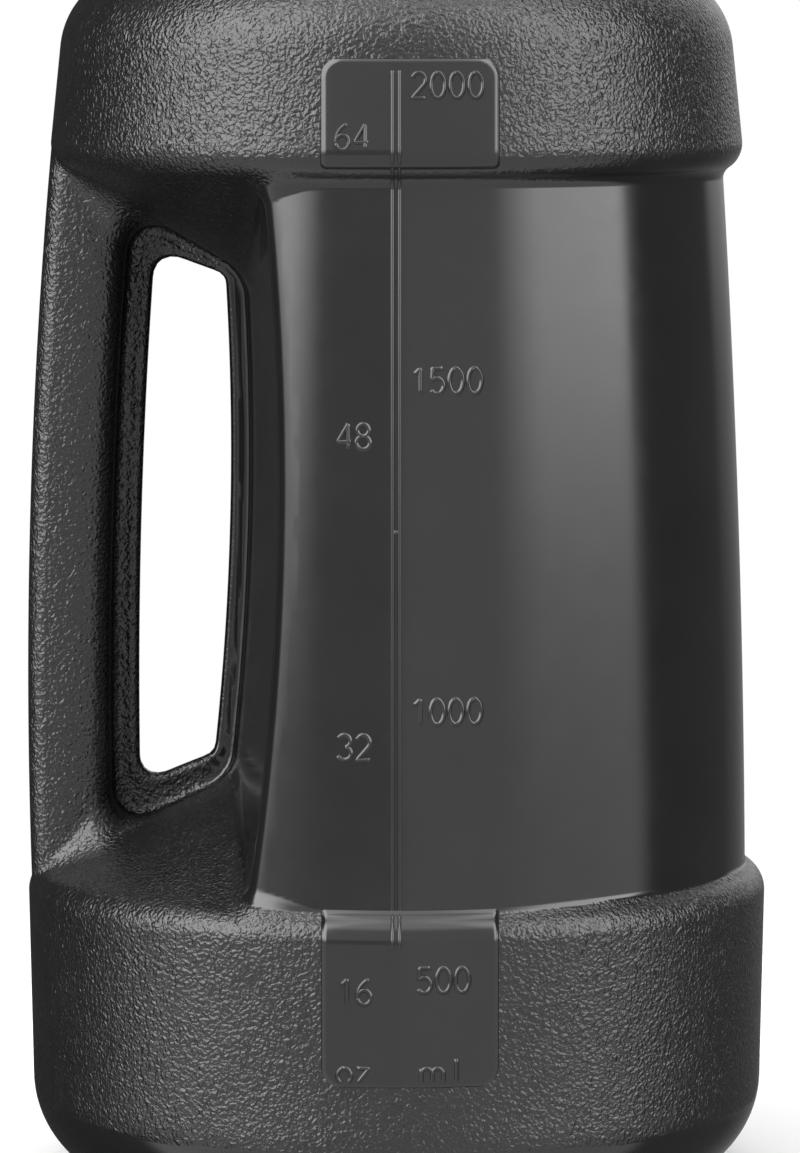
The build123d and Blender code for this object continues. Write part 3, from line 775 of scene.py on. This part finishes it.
STROKES = {  # centre lines, in shares of the figure's height
    "0": [bend(0.28, 0.5, 0.26, 0.48, 90, 470)],
    "1": [[(0.12, 0.76), (0.34, 0.98), (0.34, 0.02)]],
    "2": [bend(0.28, 0.7, 0.25, 0.28, 165, -35) + [(0.03, 0.02), (0.54, 0.02)]],
    "3": [bend(0.26, 0.74, 0.24, 0.24, 160, -80), bend(0.26, 0.27, 0.27, 0.25, 85, -160)],
    "4": [[(0.42, 0.02), (0.42, 0.98), (0.02, 0.3), (0.55, 0.3)]],
    "5": [[(0.5, 0.98), (0.1, 0.98), (0.07, 0.54)] + bend(0.26, 0.32, 0.26, 0.3, 130, -150)],
    "6": [bend(0.54, 0.3, 0.51, 0.68, 98, 180), bend(0.28, 0.3, 0.25, 0.28, 180, 560)],
    "8": [bend(0.28, 0.75, 0.22, 0.23, -90, 290), bend(0.28, 0.27, 0.26, 0.25, 90, 470)],
    "o": [bend(0.28, 0.32, 0.26, 0.3, 90, 470)],
    "z": [[(0.04, 0.62), (0.5, 0.62), (0.04, 0.02), (0.52, 0.02)]],
    "m": [
        [(0.04, 0.02), (0.04, 0.62)], bend(0.25, 0.42, 0.21, 0.2, 180, 0) + [(0.46, 0.02)],
        bend(0.67, 0.42, 0.21, 0.2, 180, 0) + [(0.88, 0.02)],
    ],
    "l": [[(0.66, 0.98), (0.66, 0.02)]],
}


def front_of_skin(x, z):
    """Points of the front skin at those places, seen along Y, with their normals."""
    x, z = np.asarray(x, float), np.asarray(z, float)
    y = np.full(x.shape, -80.0)
    for _ in range(40):
        y = y + 0.9 * np.clip(skin(x, y, z), -1, 8)
    points = np.stack((x, y, z), 1)
    return points, unit(slope(points, skin))


def panel_lift(x, z):
    """How much a panel raises the front at those places."""
    lift = np.zeros(np.shape(x))
    for low_z, high_z in (PANEL_HIGH_Z, PANEL_LOW_Z):
        inside = np.minimum(np.minimum(x - PANEL_X[0], PANEL_X[1] - x), np.minimum(z - low_z, high_z - z))
        lift = np.maximum(lift, PANEL_STAND * smooth(0.2, 0.9, inside))
    return lift


def panel(low_z, high_z, low_corner_r, high_corner_r):
    """A smooth plate standing on the grained skin, with rounded corners and sloping edges."""
    past_end = PANEL_MARGIN + 0.1
    columns = np.arange(PANEL_X[0] - PANEL_MARGIN, PANEL_X[1] + past_end, PANEL_STEP)
    rows = np.arange(low_z - PANEL_MARGIN, high_z + past_end, PANEL_STEP)
    x, z = (spread.ravel() for spread in np.meshgrid(columns, rows))
    middle_x, middle_z = sum(PANEL_X) / 2, (low_z + high_z) / 2
    corner_r = np.where(z > middle_z, high_corner_r, low_corner_r)
    across = np.abs(x - middle_x) - (PANEL_X[1] - PANEL_X[0]) / 2 + corner_r
    upward = np.abs(z - middle_z) - (high_z - low_z) / 2 + corner_r
    corner = np.hypot(np.maximum(across, 0), np.maximum(upward, 0))
    outside = corner + np.minimum(np.maximum(across, upward), 0) - corner_r
    rise = np.clip(0.5 - outside / PANEL_BEVEL, 0, 1)
    spine, normals = front_of_skin(x, z)
    lift = PANEL_STAND * rise - 0.15 * smooth(PANEL_BEVEL / 2, PANEL_BEVEL / 2 + 0.2, outside)
    points = np.concatenate((spine + lift[:, None] * normals, spine - 2 * BURIED * normals))
    top = grid_faces(len(rows), len(columns))
    count = len(columns)
    rim = np.concatenate((
        np.arange(count), np.arange(1, len(rows)) * count + count - 1,
        np.arange(len(x) - 2, len(x) - count - 1, -1), np.arange(len(rows) - 2, 0, -1) * count,
    ))
    after = np.roll(rim, -1)
    wall = np.stack((rim, rim + len(x), after + len(x), after), 1)
    return points, np.concatenate((top, (top + len(x))[:, ::-1], wall)).tolist()


def add_to_front(name, points, faces):
    """A smooth black piece that belongs to the bottle."""
    piece = new_object(name, points, faces, values=np.zeros(len(points)))
    dress(piece, BLACK)
    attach(piece, "bottle")


def ridges(paths, width, stand):
    """Ridges with sloping sides along paths of (x, z) on the front skin, closed at their ends."""
    runs = []
    for path in map(np.array, paths):
        lengths = np.concatenate(([0], np.cumsum(np.linalg.norm(np.diff(path, axis=0), axis=1))))
        places = np.linspace(0, lengths[-1], max(5, round(lengths[-1] / RIDGE_STEP)))
        runs.append(np.stack([np.interp(places, lengths, path[:, axis]) for axis in (0, 1)], 1))
    x, z = np.concatenate(runs).T
    spines, normals = front_of_skin(x, z)
    raised = panel_lift(x, z)
    section = RIDGE_SIDE + [(-side, share) for side, share in RIDGE_SIDE[-2::-1]]
    points, faces, start = [], [], 0
    for run in runs:
        count = len(run)
        part = slice(start, start + count)
        across = unit(np.cross(unit(np.gradient(spines[part], axis=0)), normals[part]))
        ends = np.clip(np.minimum(np.arange(count), np.arange(count)[::-1]) / 2, 0.1, 1)
        columns = []
        for side, share in section:
            lift = np.full(count, share) if share < 0 else share * stand * ends + raised[part]
            columns.append(spines[part] + side * width * across + lift[:, None] * normals[part])
        points.append(np.stack(columns, 1).reshape(-1, 3))
        first, last = start * len(section), (start + count - 1) * len(section)
        faces += (grid_faces(count, len(section), closed_columns=True) + first).tolist()
        faces += [list(range(first, first + len(section)))[::-1], list(range(last, last + len(section)))]
        start += count
    return np.concatenate(points), faces


def figure_paths():
    """The centre lines of every figure on the scale."""
    for text, left, middle in MARKS:
        for place, letter in enumerate(text):
            for stroke in STROKES[letter]:
                corner = np.array((left + place * FIGURE_PITCH, middle - FIGURE_HEIGHT / 2))
                yield corner + FIGURE_HEIGHT * np.array(stroke)


add_to_front("scale_panel_high", *panel(*PANEL_HIGH_Z, PANEL_SQUARE_R, PANEL_CORNER_R))
add_to_front("scale_panel_low", *panel(*PANEL_LOW_Z, PANEL_CORNER_R, PANEL_SQUARE_R))
lines = [[(x, z) for z in LINE_Z] for x in LINE_X]
add_to_front("scale_lines", *ridges(lines, LINE_WIDTH, LINE_STAND))
spot_x = sum(LINE_X) / 2
spot = [(spot_x, SPOT_Z - SPOT_SIZE / 2), (spot_x, SPOT_Z + SPOT_SIZE / 2)]
add_to_front("scale_spot", *ridges([spot], SPOT_SIZE, LINE_STAND))
add_to_front("scale_figures", *ridges(figure_paths(), STROKE_WIDTH, STROKE_STAND))


# ---------------------------------------------------------------- pieces that stay as the CAD has them
for node, material in (
    ("screw_collar", COLLAR), ("sealing_washer", SEAL), ("valve_plate", WHITE),
    ("valve_cage", WHITE), ("valve_ball", BALL), ("flow_disc", BLUE), ("vent_valve", TEAT),
):
    dress(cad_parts[node], material)


# ---------------------------------------------------------------- camera, stage and light
CAMERA_TILT = math.radians(5.8)
CAMERA_DISTANCE = 1.06
CAMERA_TARGET = Vector((0.0006, 0, 0.1069))
SENSOR = 36.0
LENS = 185.9


def make_camera():
    """A long lens that looks slightly down on the bottle's front."""
    data = bpy.data.cameras.new("camera")
    data.sensor_width = SENSOR
    data.lens = LENS
    camera = bpy.data.objects.new("camera", data)
    back = Vector((0, -math.cos(CAMERA_TILT), math.sin(CAMERA_TILT)))
    camera.location = CAMERA_TARGET + CAMERA_DISTANCE * back
    camera.rotation_euler = (math.pi / 2 - CAMERA_TILT, 0, 0)
    bpy.context.scene.collection.objects.link(camera)
    bpy.context.scene.camera = camera


FLOOR_RINGS = (40.0, 200.0, 600.0, 1200.0, 2400.0, 3600.0)  # radii
BACKDROP_BEND = 1400.0
BACKDROP_TOP = 9000.0
SHADE_REACH = (0.12, 0.4)  # metres from the bottle where the shaded paper gives way to white
PAPER = (0.8, 0.8, 0.8, 1)
WHITE_LIGHT = (1, 1, 1, 1)


def make_stage():
    """A round pale floor that curves up into a bright backdrop all round."""
    profile = [(radius, 0.0) for radius in FLOOR_RINGS]
    flat, steps = FLOOR_RINGS[-1], 96
    for angle in np.radians(np.arange(10, 91, 10)):
        profile.append((flat + BACKDROP_BEND * math.sin(angle), BACKDROP_BEND * (1 - math.cos(angle))))
    profile.append((flat + BACKDROP_BEND, BACKDROP_TOP))
    angles = np.arange(steps) * 2 * np.pi / steps
    ring = np.stack((np.cos(angles), np.sin(angles)), 1)
    points = [(0, 0, 0)]
    for radius, height in profile:
        points += [(radius * c, radius * s, height) for c, s in ring]
    faces = [[0, 1 + j, 1 + (j + 1) % steps] for j in range(steps)]
    faces += (grid_faces(len(profile), steps, closed_columns=True) + 1)[:, ::-1].tolist()
    stage = new_object("stage_floor", points, faces)
    material = bpy.data.materials.new("stage_paper")
    tree = Tree(material)
    place = tree.add("NewGeometry").outputs["Position"]
    far = tree.add("VectorMath", {0: place}, operation="LENGTH").outputs["Value"]
    paper = tree.add("BsdfDiffuse", {"Color": PAPER})
    glow = tree.add("Emission", {"Color": WHITE_LIGHT, "Strength": 1.0})
    mixed = tree.add("MixShader", {0: tree.step(far, *SHADE_REACH), 1: paper.outputs[0], 2: glow.outputs[0]})
    tree.add("OutputMaterial", {"Surface": mixed.outputs[0]})
    dress(stage, material)
    stage.visible_glossy = False
    stage.visible_shadow = False


def ramp(tree, value, low, high, stops):
    """A piecewise straight curve through (place, level) stops."""
    share = tree.add("MapRange", {0: value, 1: low, 2: high}).outputs[0]
    node = tree.add("ValToRGB", {0: share})
    elements = node.color_ramp.elements
    elements.remove(elements[1])
    for number, (place, level) in enumerate(stops):
        position = (place - low) / (high - low)
        element = elements.new(position) if number else elements[0]
        element.position = position
        element.color = (level, level, level, 1)
    return node.outputs[0]


# Light by its direction from the bottle. Degrees to the right of the front, and a level:
GREY_WALL = (
    (-180, 0.05), (-177, 0.008), (-128, 0.008), (-96, 0.02), (-88, 0.18), (-25, 0.12), (-1, 0.12),
    (2, 0.225), (40, 0.225), (86, 0.22), (92, 0.03), (137, 0.02), (180, 0.05),
)
SOFTBOXES = (
    (-88, 0.0), (-84, 1.0), (-36, 1.0), (-26, 0.0), (34, 0.0), (50, 0.75), (84, 0.88), (87, 0.0),
    (136, 0.0), (143, 0.13), (180, 0.13),
)
NEAR_LEFT = ((-92, 0.0), (-88, 1.0), (-2, 1.0), (2, 0.0))
# Degrees above the horizon, and a level:
BOX_HEIGHT = (
    (-12, 0.0), (-5, 0.042), (-2, 0.155), (1.5, 0.6), (4, 0.85), (10, 1.0), (50, 0.97), (75, 0.15),
)
ABOVE_AND_BELOW = ((-10, 0.1), (-8.5, 0.0), (6.5, 0.0), (8.5, 0.12))
ROOF = ((45, 0.0), (60, 0.3), (90, 0.3))
WALL_LIGHT = 5.0
BOX_LIGHT = 6.5


def make_light():
    """A studio as the bottle sees it: two tall softboxes, a grey front, and a paler back."""
    world = bpy.data.worlds.new("studio")
    bpy.context.scene.world = world
    tree = Tree(world)
    direction = tree.add("TexCoord").outputs["Generated"]
    parts = tree.add("SeparateXYZ", {0: direction}).outputs
    ahead = tree.math("MULTIPLY", parts[1], -1.0)
    turn = tree.math("DEGREES", tree.math("ARCTAN2", parts[0], ahead))
    lift = tree.math("DEGREES", tree.math("ARCSINE", parts[2]))
    sideways = (GREY_WALL, SOFTBOXES, NEAR_LEFT)
    upwards = (BOX_HEIGHT, ABOVE_AND_BELOW, ROOF)
    wall, boxes, near_left = (ramp(tree, turn, -180, 180, stops) for stops in sideways)
    fade, glow, roof = (ramp(tree, lift, -20, 90, stops) for stops in upwards)
    wall = tree.math("ADD", tree.math("MULTIPLY_ADD", glow, near_left, wall), roof)
    boxes = tree.math("MULTIPLY", boxes, fade)
    strength = tree.math("MULTIPLY_ADD", boxes, BOX_LIGHT, tree.math("MULTIPLY", wall, WALL_LIGHT))
    background = tree.add("Background", {"Color": WHITE_LIGHT, "Strength": strength})
    tree.add("OutputWorld", {"Surface": background.outputs[0]})


make_camera()
make_stage()
make_light()
bpy.context.scene.view_settings.view_transform = "Standard"
